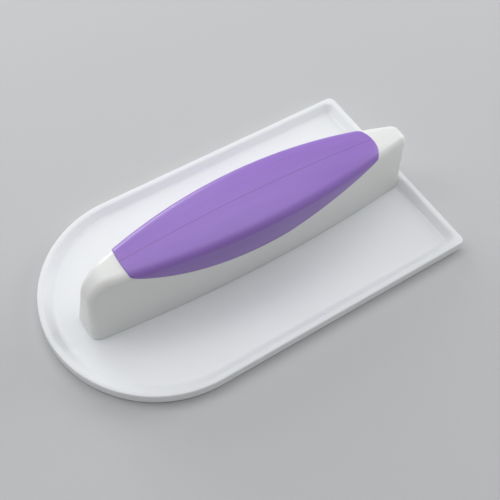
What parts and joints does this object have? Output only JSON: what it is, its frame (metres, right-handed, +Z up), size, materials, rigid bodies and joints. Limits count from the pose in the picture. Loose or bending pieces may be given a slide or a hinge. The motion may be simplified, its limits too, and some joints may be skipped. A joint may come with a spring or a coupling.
{
  "type": "icing smoother",
  "caption": "Hand-held icing smoother: a D-shaped smoothing plate with a raised rim, and an arched hollow handle with a soft grip moulded over it.",
  "frame": {"origin": "middle of the plate's smoothing face, which is the underside", "axes": "+X towards the plate's square end, +Y across the plate, +Z up out of the smoothing face"},
  "size_m": [0.1464, 0.084, 0.0334],
  "materials": {
    "plate_plastic": "gloss white moulded plastic",
    "handle_plastic": "gloss white moulded plastic",
    "grip_rubber": "satin purple soft-touch skin"
  },
  "bodies": {
    "root": {"base_plate": "plate_plastic", "handle_body": "handle_plastic", "soft_grip": "grip_rubber"}
  },
  "joints": []
}
